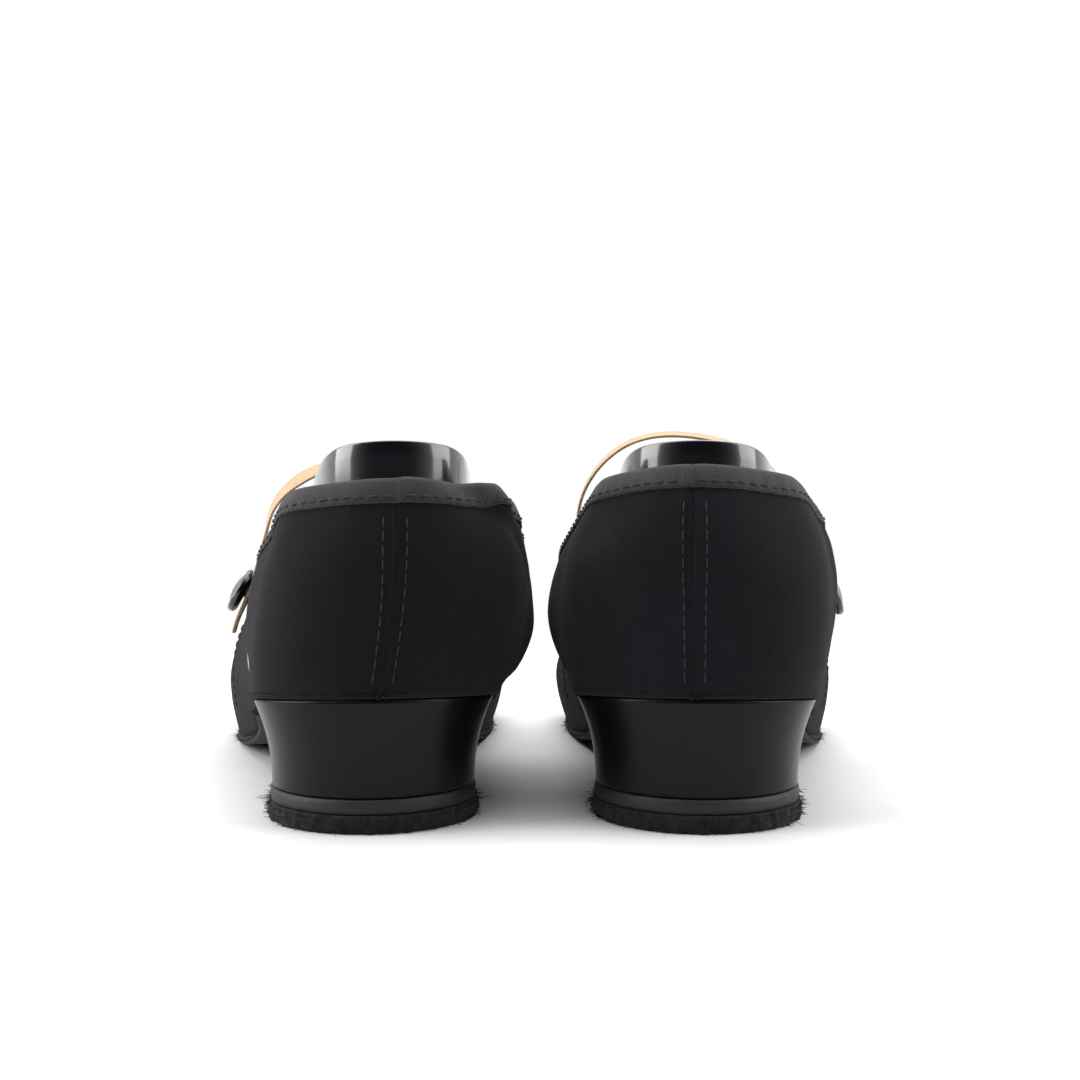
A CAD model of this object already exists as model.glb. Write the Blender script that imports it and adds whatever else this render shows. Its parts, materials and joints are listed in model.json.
"""A pair of black canvas dance shoes on moulded Cuban heels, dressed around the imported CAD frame.

Every sub-assembly is a class that works in its shoe's own frame, in millimetres: the back of the
heel at Y = 0, the toe towards +Y, the outer side towards +X and the floor at Z = 0. A ShoeFrame
turns those points into the row frame, in metres, and mirrors the left shoe.
"""

import json
import logging
import math
import random
from dataclasses import dataclass, field
from enum import Enum
from typing import Callable, Iterable, Sequence

import bmesh
import bpy
import numpy as np
from mathutils import Matrix, Vector, noise
from mathutils.bvhtree import BVHTree


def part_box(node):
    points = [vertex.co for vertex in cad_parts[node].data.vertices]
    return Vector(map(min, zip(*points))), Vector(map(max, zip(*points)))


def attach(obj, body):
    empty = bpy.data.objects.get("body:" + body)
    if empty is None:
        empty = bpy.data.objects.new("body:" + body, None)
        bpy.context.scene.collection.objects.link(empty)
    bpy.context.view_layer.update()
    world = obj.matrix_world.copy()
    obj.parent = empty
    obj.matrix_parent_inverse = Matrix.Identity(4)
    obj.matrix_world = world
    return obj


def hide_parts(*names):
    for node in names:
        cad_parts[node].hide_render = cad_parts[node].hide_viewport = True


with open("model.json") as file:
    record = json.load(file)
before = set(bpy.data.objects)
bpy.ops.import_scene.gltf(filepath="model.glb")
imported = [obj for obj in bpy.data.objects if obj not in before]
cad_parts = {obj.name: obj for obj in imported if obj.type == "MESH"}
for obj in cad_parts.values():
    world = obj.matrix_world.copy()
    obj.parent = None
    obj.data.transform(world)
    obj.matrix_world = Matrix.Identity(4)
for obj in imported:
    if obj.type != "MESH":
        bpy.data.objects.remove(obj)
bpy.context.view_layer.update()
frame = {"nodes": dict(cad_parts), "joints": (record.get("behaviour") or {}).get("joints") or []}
MM = 0.001
LOG = logging.getLogger("dance_shoes")


class Side(Enum):
    """Which shoe of the pair: the value is the sign of its outer side along X."""

    RIGHT = 1.0
    LEFT = -1.0

    @property
    def word(self) -> str:
        """Prefix of this shoe's nodes and bodies."""
        return self.name.lower()


# ---------------------------------------------------------------------------------------------
# Helpers for meshes and curves
# ---------------------------------------------------------------------------------------------


class Smooth:
    """Natural cubic curve through points at growing stations."""

    def __init__(self, stations: Sequence[float], values: Sequence) -> None:
        """Solve for the curve's bending at each station.

        Args:
            stations: growing positions along the curve.
            values: a number or a point for each station.
        """
        self.at = np.asarray(stations, float)
        self.values = np.asarray(values, float).reshape(len(self.at), -1)
        count = len(self.at)
        gaps = np.diff(self.at)
        system = np.eye(count)
        target = np.zeros_like(self.values)
        slopes = np.diff(self.values, axis=0) / gaps[:, None]
        for row in range(1, count - 1):
            system[row, row - 1] = gaps[row - 1]
            system[row, row] = 2 * (gaps[row - 1] + gaps[row])
            system[row, row + 1] = gaps[row]
            target[row] = 6 * (slopes[row] - slopes[row - 1])
        self.bend = np.linalg.solve(system, target)

    def __call__(self, where: float) -> np.ndarray:
        """Point of the curve at a station.

        Args:
            where: the station.

        Returns:
            The point, or the single value.
        """
        last = len(self.at) - 2
        span = min(max(int(np.searchsorted(self.at, where)) - 1, 0), last)
        gap = self.at[span + 1] - self.at[span]
        before = (self.at[span + 1] - where) / gap
        after = 1.0 - before
        ends = before * self.values[span] + after * self.values[span + 1]
        low = (before**3 - before) * self.bend[span]
        high = (after**3 - after) * self.bend[span + 1]
        return ends + (low + high) * gap * gap / 6.0


def through(points: Sequence[Sequence[float]]) -> tuple[Smooth, float]:
    """Smooth curve through points, measured by the straight distances between them.

    Args:
        points: the points, in order.

    Returns:
        The curve and its last station.
    """
    places = np.asarray(points, float)
    steps = np.linalg.norm(np.diff(places, axis=0), axis=1)
    stations = np.concatenate([[0.0], np.cumsum(np.maximum(steps, 1e-6))])
    return Smooth(stations, places), float(stations[-1])


def evenly(points: Sequence[Sequence[float]], spacing: float, closed: bool = False) -> np.ndarray:
    """Points evenly spaced along a chain of points.

    Args:
        points: the chain.
        spacing: distance between the new points.
        closed: whether the chain returns to its start.

    Returns:
        The new points, one per row.
    """
    chain = np.asarray(points, float)
    if closed:
        chain = np.vstack([chain, chain[:1]])
    lengths = np.concatenate([[0.0], np.cumsum(np.linalg.norm(np.diff(chain, axis=0), axis=1))])
    count = max(int(round(lengths[-1] / spacing)), 2)
    wanted = np.linspace(0.0, lengths[-1], count + 1)
    if closed:
        wanted = wanted[:-1]
    return np.stack([np.interp(wanted, lengths, chain[:, axis]) for axis in range(3)], axis=1)


@dataclass
class Patch:
    """Points, faces and cloth coordinates of a mesh in a shoe's own frame."""

    points: list = field(default_factory=list)
    faces: list = field(default_factory=list)
    cloth: list = field(default_factory=list)

    def join(self, other: "Patch") -> None:
        """Add another patch to this one.

        Args:
            other: the patch to add.
        """
        shift = len(self.points)
        self.points.extend(other.points)
        self.cloth.extend(other.cloth)
        self.faces.extend(tuple(corner + shift for corner in face) for face in other.faces)


def skin(rings: Sequence, closed: bool = True, loop: bool = False, caps: bool = True) -> Patch:
    """Stretch quads over a row of rings.

    Args:
        rings: rings with the same number of points.
        closed: whether each ring closes on itself.
        loop: whether the last ring joins the first.
        caps: whether open ends get a face.

    Returns:
        The patch, with cloth coordinates in millimetres round and along it.
    """
    rows = np.asarray(rings, float)
    count, around = rows.shape[:2]
    along = np.linalg.norm(np.diff(rows, axis=0), axis=2).mean(axis=1)
    along = np.concatenate([[0.0], np.cumsum(along)])
    across = np.linalg.norm(np.diff(rows, axis=1), axis=2).mean(axis=0)
    across = np.concatenate([[0.0], np.cumsum(across)])
    patch = Patch(points=[tuple(point) for row in rows for point in row])
    patch.cloth = [(across[k], along[i]) for i in range(count) for k in range(around)]
    for i in range(count if loop else count - 1):
        after = (i + 1) % count
        for k in range(around if closed else around - 1):
            beside = (k + 1) % around
            patch.faces.append(
                (i * around + k, i * around + beside, after * around + beside, after * around + k)
            )
    if caps and closed and not loop:
        patch.faces.append(tuple(reversed(range(around))))
        patch.faces.append(tuple((count - 1) * around + k for k in range(around)))
    return patch


def tube(path: Sequence, radius: float, sides: int = 6, taper: bool = True) -> Patch:
    """Round thread along a short path.

    Args:
        path: points of the thread's middle.
        radius: its radius.
        sides: corners of its section.
        taper: whether its ends close to a smaller ring.

    Returns:
        The closed thread.
    """
    points = [Vector(point) for point in path]
    rings = []
    for index, point in enumerate(points):
        ahead = points[min(index + 1, len(points) - 1)]
        behind = points[max(index - 1, 0)]
        run = (ahead - behind).normalized()
        level = run.orthogonal().normalized()
        upright = run.cross(level)
        size = radius * (0.45 if taper and index in (0, len(points) - 1) else 1.0)
        rings.append(
            [
                point
                + level * size * math.cos(math.tau * k / sides)
                + upright * size * math.sin(math.tau * k / sides)
                for k in range(sides)
            ]
        )
    return skin(rings)


def stitch_row(path: Sequence, outward: Sequence, length: float, gap: float, radius: float) -> Patch:
    """Row of separate lockstitches that follow a path.

    Args:
        path: points on the cloth.
        outward: direction away from the cloth at each point.
        length: one stitch's length.
        gap: distance between stitches.
        radius: the thread's radius.

    Returns:
        All the stitches as one patch.
    """
    chain = np.asarray(path, float)
    lengths = np.concatenate([[0.0], np.cumsum(np.linalg.norm(np.diff(chain, axis=0), axis=1))])
    normals = np.asarray(outward, float)
    row = Patch()
    start = gap / 2
    while start + length < lengths[-1]:
        middle = []
        for share, lift in ((0.0, -0.5), (0.2, 0.55), (0.5, 0.8), (0.8, 0.55), (1.0, -0.5)):
            where = start + share * length
            point = [np.interp(where, lengths, chain[:, axis]) for axis in range(3)]
            normal = [np.interp(where, lengths, normals[:, axis]) for axis in range(3)]
            middle.append(Vector(point) + Vector(normal) * lift * radius)
        row.join(tube(middle, radius))
        start += length + gap
    return row


@dataclass
class Fray:
    """Loose suede fibres that stand out of a cut edge."""

    count: int
    longest: float
    thickness: float
    seed: int

    def grow(self, edge: Sequence, outward: Sequence, droop: float) -> Patch:
        """Fibres that start on an edge and curl away from it.

        Args:
            edge: points on the edge.
            outward: direction away from the edge at each point.
            droop: how strongly the fibres bend down.

        Returns:
            All the fibres as one patch.
        """
        chance = random.Random(self.seed)
        fibres = Patch()
        for _ in range(self.count):
            index = chance.randrange(len(edge))
            start = Vector(edge[index])
            along = Vector(edge[(index + 1) % len(edge)]) - start
            start += along * chance.random()
            way = Vector(outward[index]) + Vector(chance.gauss(0, 0.35) for _ in range(3))
            way.normalize()
            length = self.longest * (0.25 + 0.75 * chance.random() ** 2.2)
            bend = Vector((chance.gauss(0, 0.4), chance.gauss(0, 0.4), -droop * chance.random()))
            path = [
                start - way * 0.3 + (way + bend * share) * length * share
                for share in (0.0, 0.35, 0.7, 1.0)
            ]
            for point in path:
                point.z = max(point.z, self.thickness)
            fibres.join(tube(path, self.thickness, sides=3))
        return fibres


# ---------------------------------------------------------------------------------------------
# Finishes
# ---------------------------------------------------------------------------------------------


def linear(colour: str) -> tuple[float, float, float, float]:
    """Linear colour of an sRGB hex value such as #1a1b20.

    Args:
        colour: hex value, with its # sign.

    Returns:
        Linear red, green, blue and full alpha.
    """
    parts = [int(colour[place : place + 2], 16) / 255 for place in (1, 3, 5)]
    values = [part / 12.92 if part <= 0.04045 else ((part + 0.055) / 1.055) ** 2.4 for part in parts]
    return values[0], values[1], values[2], 1.0


def add_node(tree: bpy.types.NodeTree, kind: str, inputs: dict, **settings: object) -> bpy.types.Node:
    """Add a node with its settings, values and links.

    Args:
        tree: the node tree.
        kind: the node's type name.
        inputs: socket names or numbers, each with a value or an output socket.
        settings: the node's own properties.

    Returns:
        The new node.
    """
    node = tree.nodes.new(kind)
    for name, value in settings.items():
        setattr(node, name, value)
    for name, value in inputs.items():
        if isinstance(value, bpy.types.NodeSocket):
            tree.links.new(value, node.inputs[name])
        else:
            node.inputs[name].default_value = value
    return node


def new_material(name: str) -> tuple[bpy.types.Material, bpy.types.NodeTree]:
    """Empty node material and its tree.

    Args:
        name: the finish's name.

    Returns:
        The material and its node tree.
    """
    material = bpy.data.materials.new(name)
    material.use_nodes = True
    material.node_tree.nodes.clear()
    return material, material.node_tree


def math_node(tree: bpy.types.NodeTree, operation: str, first: object, second: object = 0.0) -> object:
    """Output of a math node with one or two inputs."""
    return add_node(tree, "ShaderNodeMath", {0: first, 1: second}, operation=operation).outputs[0]


def grain(tree: bpy.types.NodeTree, where: object, size_mm: float, detail: float = 4.0) -> object:
    """Noise whose lumps are about size_mm across, in the object's own metres.

    Args:
        tree: the material's tree.
        where: socket with the place.
        size_mm: width of a lump.
        detail: layers of finer noise.

    Returns:
        Socket with the noise, from 0 to 1.
    """
    node = add_node(
        tree, "ShaderNodeTexNoise", {"Vector": where, "Scale": 1.0 / (size_mm * MM), "Detail": detail}
    )
    return node.outputs["Fac"]


def ramp(tree: bpy.types.NodeTree, value: object, low: str, high: str, span: tuple = (0.35, 0.65)) -> object:
    """Colour that goes from low to high as value crosses the span.

    Args:
        tree: the material's tree.
        value: socket with the value.
        low: hex colour below the span.
        high: hex colour above it.
        span: where the change starts and ends.

    Returns:
        Socket with the colour.
    """
    node = add_node(tree, "ShaderNodeValToRGB", {"Fac": value})
    node.color_ramp.elements[0].position = span[0]
    node.color_ramp.elements[1].position = span[1]
    node.color_ramp.elements[0].color = linear(low)
    node.color_ramp.elements[1].color = linear(high)
    return node.outputs["Color"]


def finish_surface(
    tree: bpy.types.NodeTree,
    colour: object,
    roughness: object,
    height: object,
    depth_mm: float,
    **constants: float,
) -> None:
    """End a material with its shader, bump and output.

    Args:
        tree: the material's tree.
        colour: base colour value or socket.
        roughness: value or socket.
        height: bump height socket, or None.
        depth_mm: real depth of the bump.
        constants: values set straight on the shader, such as sheen.
    """
    inputs = {"Base Color": colour, "Roughness": roughness}
    if height is not None:
        bump = add_node(
            tree, "ShaderNodeBump", {"Height": height, "Distance": depth_mm * MM, "Strength": 1.0}
        )
        inputs["Normal"] = bump.outputs["Normal"]
    shader = add_node(tree, "ShaderNodeBsdfPrincipled", inputs)
    for name, value in constants.items():
        shader.inputs[name.replace("_", " ")].default_value = value
    add_node(tree, "ShaderNodeOutputMaterial", {"Surface": shader.outputs[0]})


@dataclass(frozen=True)
class Weave:
    """Plain-woven cotton: matt, with a crossing at every thread and a soft nap at the rim.

    Thread spacing is the real one for the cloth; thinner cloths are drawn a little coarser
    than life so that the crossings still show.
    """

    name: str
    warp: str
    weft: str
    worn: str
    spacing_mm: float
    depth_mm: float
    sheen: float

    def build(self) -> bpy.types.Material:
        """Woven material that follows the cloth coordinates.

        Returns:
            The finished material.
        """
        material, tree = new_material(self.name)
        place = add_node(tree, "ShaderNodeTexCoord", {})
        slub = add_node(
            tree, "ShaderNodeTexNoise", {"Vector": place.outputs["Object"], "Scale": 1 / (6 * MM)}
        )
        drift = add_node(
            tree,
            "ShaderNodeVectorMath",
            {0: slub.outputs["Color"], "Scale": 0.5 * self.spacing_mm * MM},
            operation="SCALE",
        )
        moved = add_node(
            tree, "ShaderNodeVectorMath", {0: place.outputs["UV"], 1: drift.outputs[0]}, operation="ADD"
        )
        split = add_node(tree, "ShaderNodeSeparateXYZ", {0: moved.outputs[0]})
        turns = math.pi / (self.spacing_mm * MM)
        wave_u = math_node(tree, "SINE", math_node(tree, "MULTIPLY", split.outputs[0], turns))
        wave_v = math_node(tree, "SINE", math_node(tree, "MULTIPLY", split.outputs[1], turns))
        crossing = math_node(tree, "MULTIPLY", wave_u, wave_v)
        pillow = math_node(tree, "POWER", math_node(tree, "ABSOLUTE", crossing), 0.5)
        lint = grain(tree, place.outputs["Object"], 0.35)
        height = math_node(tree, "ADD", pillow, math_node(tree, "MULTIPLY", lint, 0.5))
        over = math_node(tree, "MULTIPLY_ADD", crossing, 0.5)
        threads = ramp(tree, over, self.weft, self.warp, (0.2, 0.8))
        fade = grain(tree, place.outputs["Object"], 22.0, 6.0)
        amount = math_node(tree, "MULTIPLY", math_node(tree, "SUBTRACT", fade, 0.42), 1.6)
        amount = add_node(tree, "ShaderNodeClamp", {"Value": amount}).outputs[0]
        colour = add_node(
            tree, "ShaderNodeMix", {0: amount, 6: threads, 7: linear(self.worn)}, data_type="RGBA"
        ).outputs[2]
        finish_surface(
            tree,
            colour,
            0.92,
            height,
            self.depth_mm,
            Sheen_Weight=self.sheen,
            Sheen_Roughness=0.5,
            Specular_IOR_Level=0.1,
            IOR=1.53,
        )
        return material


@dataclass(frozen=True)
class Ribbed:
    """Narrow webbing with ribs along or across it: covered elastic cords or grosgrain."""

    name: str
    ridge: str
    groove: str
    rib_mm: float
    pick_mm: float
    along: bool
    depth_mm: float

    def build(self) -> bpy.types.Material:
        """Ribbed material that follows the cloth coordinates, across then along.

        Returns:
            The finished material.
        """
        material, tree = new_material(self.name)
        place = add_node(tree, "ShaderNodeTexCoord", {})
        split = add_node(tree, "ShaderNodeSeparateXYZ", {0: place.outputs["UV"]})
        first, second = (0, 1) if self.along else (1, 0)
        rib = math_node(tree, "MULTIPLY", split.outputs[first], math.pi / (self.rib_mm * MM))
        pick = math_node(tree, "MULTIPLY", split.outputs[second], math.pi / (self.pick_mm * MM))
        rib_wave = math_node(tree, "ABSOLUTE", math_node(tree, "SINE", rib))
        pick_wave = math_node(tree, "ABSOLUTE", math_node(tree, "SINE", pick))
        fuzz = grain(tree, place.outputs["Object"], 0.4)
        height = math_node(tree, "ADD", rib_wave, math_node(tree, "MULTIPLY", pick_wave, 0.35))
        height = math_node(tree, "ADD", height, math_node(tree, "MULTIPLY", fuzz, 0.3))
        shade = math_node(tree, "MULTIPLY", math_node(tree, "ADD", rib_wave, fuzz), 0.6)
        colour = ramp(tree, shade, self.groove, self.ridge, (0.25, 0.75))
        finish_surface(
            tree, colour, 0.78, height, self.depth_mm, Sheen_Weight=0.12, Sheen_Roughness=0.4, IOR=1.53
        )
        return material


@dataclass(frozen=True)
class Moulded:
    """Moulded or rolled plastic: an even body colour under a thin reflection, with faint ripples."""

    name: str
    colour: str
    scuffed: str
    roughness: float
    ripple_mm: float
    ripple_depth_mm: float
    specular: float = 0.5
    coat: float = 0.0

    def build(self) -> bpy.types.Material:
        """Plastic with fine surface ripple and a few dull handling marks.

        Returns:
            The finished material.
        """
        material, tree = new_material(self.name)
        place = add_node(tree, "ShaderNodeTexCoord", {})
        where = place.outputs["Object"]
        ripple = grain(tree, where, self.ripple_mm, 2.0)
        dust = grain(tree, where, 0.9, 5.0)
        marks = add_node(tree, "ShaderNodeClamp", {"Value": math_node(
            tree, "MULTIPLY", math_node(tree, "SUBTRACT", dust, 0.6), 3.0)}).outputs[0]
        rough = math_node(tree, "MULTIPLY_ADD", marks, 0.18)
        rough.node.inputs[2].default_value = self.roughness
        colour = add_node(
            tree,
            "ShaderNodeMix",
            {0: marks, 6: linear(self.colour), 7: linear(self.scuffed)},
            data_type="RGBA",
        ).outputs[2]
        finish_surface(
            tree,
            colour,
            rough,
            ripple,
            self.ripple_depth_mm,
            IOR=1.5,
            Specular_IOR_Level=self.specular,
            Coat_Weight=self.coat,
            Coat_Roughness=0.08,
        )
        return material


@dataclass(frozen=True)
class Napped:
    """Leather or board seen close: fibres in two sizes, with the nap lighter than the hollows."""

    name: str
    tip: str
    hollow: str
    fibre_mm: float
    depth_mm: float
    roughness: float
    sheen: float

    def build(self) -> bpy.types.Material:
        """Fibrous material in the object's own metres.

        Returns:
            The finished material.
        """
        material, tree = new_material(self.name)
        where = add_node(tree, "ShaderNodeTexCoord", {}).outputs["Object"]
        fine = grain(tree, where, self.fibre_mm)
        coarse = grain(tree, where, self.fibre_mm * 7)
        height = math_node(tree, "ADD", fine, math_node(tree, "MULTIPLY", coarse, 0.6))
        shade = math_node(tree, "MULTIPLY", math_node(tree, "ADD", fine, coarse), 0.5)
        colour = ramp(tree, shade, self.hollow, self.tip, (0.38, 0.62))
        finish_surface(
            tree, colour, self.roughness, height, self.depth_mm, Sheen_Weight=self.sheen, Sheen_Roughness=0.5
        )
        return material


@dataclass(frozen=True)
class Steel:
    """Drawn steel wire and strip: bright, with fine lengthwise drawing marks."""

    name: str
    colour: str

    def build(self) -> bpy.types.Material:
        """Bright metal with a slightly uneven sheen.

        Returns:
            The finished material.
        """
        material, tree = new_material(self.name)
        where = add_node(tree, "ShaderNodeTexCoord", {}).outputs["Object"]
        streak = grain(tree, where, 0.5, 3.0)
        rough = math_node(tree, "MULTIPLY_ADD", streak, 0.25)
        rough.node.inputs[2].default_value = 0.22
        finish_surface(tree, linear(self.colour), rough, streak, 0.01, Metallic=1.0)
        return material


class Finishes:
    """Every finish of the pair, by the record's material slot."""

    def __init__(self) -> None:
        """Build each material once."""
        recipes = {
            "canvas": Weave("cotton_canvas_black", "#14151a", "#0e0f12", "#191a1f", 0.58, 0.09, 0.05),
            "lining": Weave("cotton_drill_black", "#202023", "#151517", "#29292c", 0.5, 0.1, 0.1),
            "binding_tape": Ribbed("grosgrain_tape_black", "#101115", "#090a0c", 0.55, 0.3, False, 0.1),
            "stiffener": Napped("counter_board_buff", "#cdbf9f", "#a3967a", 0.5, 0.05, 0.85, 0.0),
            "leatherboard": Napped("leatherboard_tan", "#a5815a", "#7b5c3d", 0.6, 0.08, 0.85, 0.0),
            "cork": Napped("cork_filler", "#b98c5c", "#7d5735", 1.6, 0.2, 0.9, 0.0),
            "sock_leather": Napped("sock_leather_black", "#28272a", "#171618", 0.8, 0.05, 0.55, 0.05),
            "suede": Napped("split_suede_black", "#18191c", "#08080a", 0.35, 0.25, 1.0, 0.08),
            "heel_plastic": Moulded("abs_heel_satin_black", "#0a0a0b", "#101011", 0.3, 9.0, 0.02, 0.15),
            "lift_rubber": Moulded("rubber_lift_black", "#101012", "#1c1c1e", 0.6, 1.2, 0.05),
            "steel": Steel("steel_bright", "#b9babd"),
            "elastic": Ribbed("covered_elastic_tan", "#d9b892", "#a07c58", 0.85, 0.5, True, 0.16),
            "thread": Ribbed("waxed_thread_black", "#16171b", "#0b0c0e", 0.25, 0.25, False, 0.05),
            "button_plastic": Moulded(
                "polyester_button_black", "#0b0b0c", "#1d1d1e", 0.12, 4.0, 0.01, coat=0.4
            ),
            "backing_plastic": Moulded("nylon_disc_black", "#1b1b1d", "#29292b", 0.45, 2.0, 0.02),
            "former_plastic": Moulded(
                "polystyrene_sheet_black", "#121117", "#1c1a21", 0.18, 16.0, 0.02, specular=0.6, coat=1.0
            ),
        }
        self.by_slot = {slot: recipe.build() for slot, recipe in recipes.items()}

    def __getitem__(self, slot: str) -> bpy.types.Material:
        """Material of a slot."""
        return self.by_slot[slot]


# ---------------------------------------------------------------------------------------------
# Where each shoe stands
# ---------------------------------------------------------------------------------------------


class ShoeFrame:
    """Turns a shoe's own millimetres into the row frame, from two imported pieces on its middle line."""

    screw_y = 27.0         # heel screw, from the back of the heel
    rivets_y = 87.5        # middle of the two shank rivets

    def __init__(self, side: Side) -> None:
        """Find the shoe's middle line from its heel screw and shank rivets.

        Args:
            side: the right or the left shoe.
        """
        self.side = side
        screw = self.middle("heel_screw")
        rivets = self.middle("shank_rivets")
        self.forward = Vector((rivets.x - screw.x, rivets.y - screw.y, 0.0)).normalized()
        self.outward = Vector((self.forward.y, -self.forward.x, 0.0)) * side.value
        self.origin = Vector((screw.x, screw.y, 0.0)) - self.forward * self.screw_y * MM

    def node(self, name: str) -> str:
        """Full name of one of this shoe's nodes or bodies."""
        return f"{self.side.word}_{name}"

    def middle(self, name: str) -> Vector:
        """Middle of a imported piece's box."""
        low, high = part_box(self.node(name))
        return (low + high) / 2

    def place(self, point: Sequence[float]) -> Vector:
        """Row-frame point of one of the shoe's own points.

        Args:
            point: place in the shoe's frame, in mm.

        Returns:
            The same place in the row frame, in metres.
        """
        x, y, z = point
        flat = self.origin + self.outward * x * MM + self.forward * y * MM
        return Vector((flat.x, flat.y, z * MM))

    def make(self, name: str, patch: Patch, slot: str, finishes: Finishes, body: str) -> bpy.types.Object:
        """Make an object from a patch, dress it and let it ride.

        Args:
            name: the piece's name without its side.
            patch: its mesh in the shoe's own frame.
            slot: the record's material slot.
            finishes: the finishes of the pair.
            body: the body it rides on, without its side.

        Returns:
            The finished object.
        """
        mesh = bpy.data.meshes.new(self.node(name))
        mesh.from_pydata([self.place(point) for point in patch.points], [], patch.faces)
        layer = mesh.uv_layers.new(name="cloth")
        for loop in mesh.loops:
            across, along = patch.cloth[loop.vertex_index]
            layer.data[loop.index].uv = (across * MM, along * MM)
        work = bmesh.new()
        work.from_mesh(mesh)
        bmesh.ops.remove_doubles(work, verts=work.verts, dist=2e-6)
        bmesh.ops.dissolve_degenerate(work, edges=work.edges, dist=1e-6)
        bmesh.ops.recalc_face_normals(work, faces=work.faces)
        work.to_mesh(mesh)
        work.free()
        mesh.shade_smooth()
        piece = bpy.data.objects.new(self.node(name), mesh)
        bpy.context.scene.collection.objects.link(piece)
        mesh.materials.append(finishes[slot])
        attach(piece, self.node(body))
        LOG.info("%s: %d faces on %s", piece.name, len(mesh.polygons), self.node(body))
        return piece


# ---------------------------------------------------------------------------------------------
# The last and the soft upper
# ---------------------------------------------------------------------------------------------


@dataclass(frozen=True)
class Section:
    """One cross section of the last: half widths and height, in millimetres."""

    along: float
    sole: float
    side_out: float
    side_in: float
    shoulder_out: float
    shoulder_in: float
    crown: float
    shoulder_back: float = 0.0
    crown_back: float = 0.0


@dataclass(frozen=True)
class Fold:
    """A soft fold or dent in the cloth, on one wall."""

    outer: bool
    along: float
    height: float
    angle: float
    length: float
    width: float
    depth: float


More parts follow.
